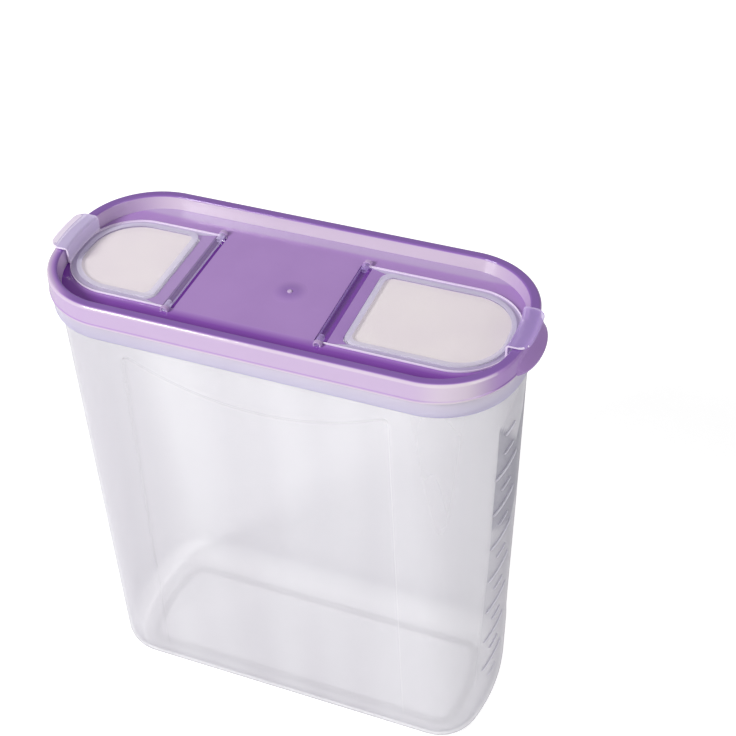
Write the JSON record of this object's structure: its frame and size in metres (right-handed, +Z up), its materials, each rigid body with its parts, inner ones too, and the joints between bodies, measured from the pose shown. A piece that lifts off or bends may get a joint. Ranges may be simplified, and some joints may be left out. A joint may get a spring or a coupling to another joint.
{
  "type": "cereal container",
  "caption": "Tall narrow cereal container with a translucent tub, a press-on lid with a sunken floor, and a short and a long flip-up pour flap.",
  "frame": {"origin": "middle of the underside, on the surface that the container stands on", "axes": "+X along the long side towards the long flap, +Y towards the back, +Z up"},
  "size_m": [0.2498, 0.104, 0.2731],
  "materials": {
    "tub": "frosted translucent polypropylene",
    "lid": "glossy translucent polypropylene",
    "flap": "milky translucent polypropylene"
  },
  "bodies": {
    "tub": {"container_body": "tub"},
    "lid": {"lid": "lid"},
    "short_flap": {"short_flap": "flap"},
    "long_flap": {"long_flap": "flap"}
  },
  "joints": [
    {"name": "lid_lift", "type": "slide", "parent": "tub", "child": "lid", "axis": [0, 0, 1], "range_m": [0, 0.06]},
    {"name": "short_flap_hinge", "type": "hinge", "parent": "lid", "child": "short_flap", "pos_m": [-0.05, 0, 0.2639], "axis": [0, 1, 0], "range_deg": [0, 105]},
    {"name": "long_flap_hinge", "type": "hinge", "parent": "lid", "child": "long_flap", "pos_m": [0.0276, 0, 0.2639], "axis": [0, -1, 0], "range_deg": [0, 105]}
  ]
}
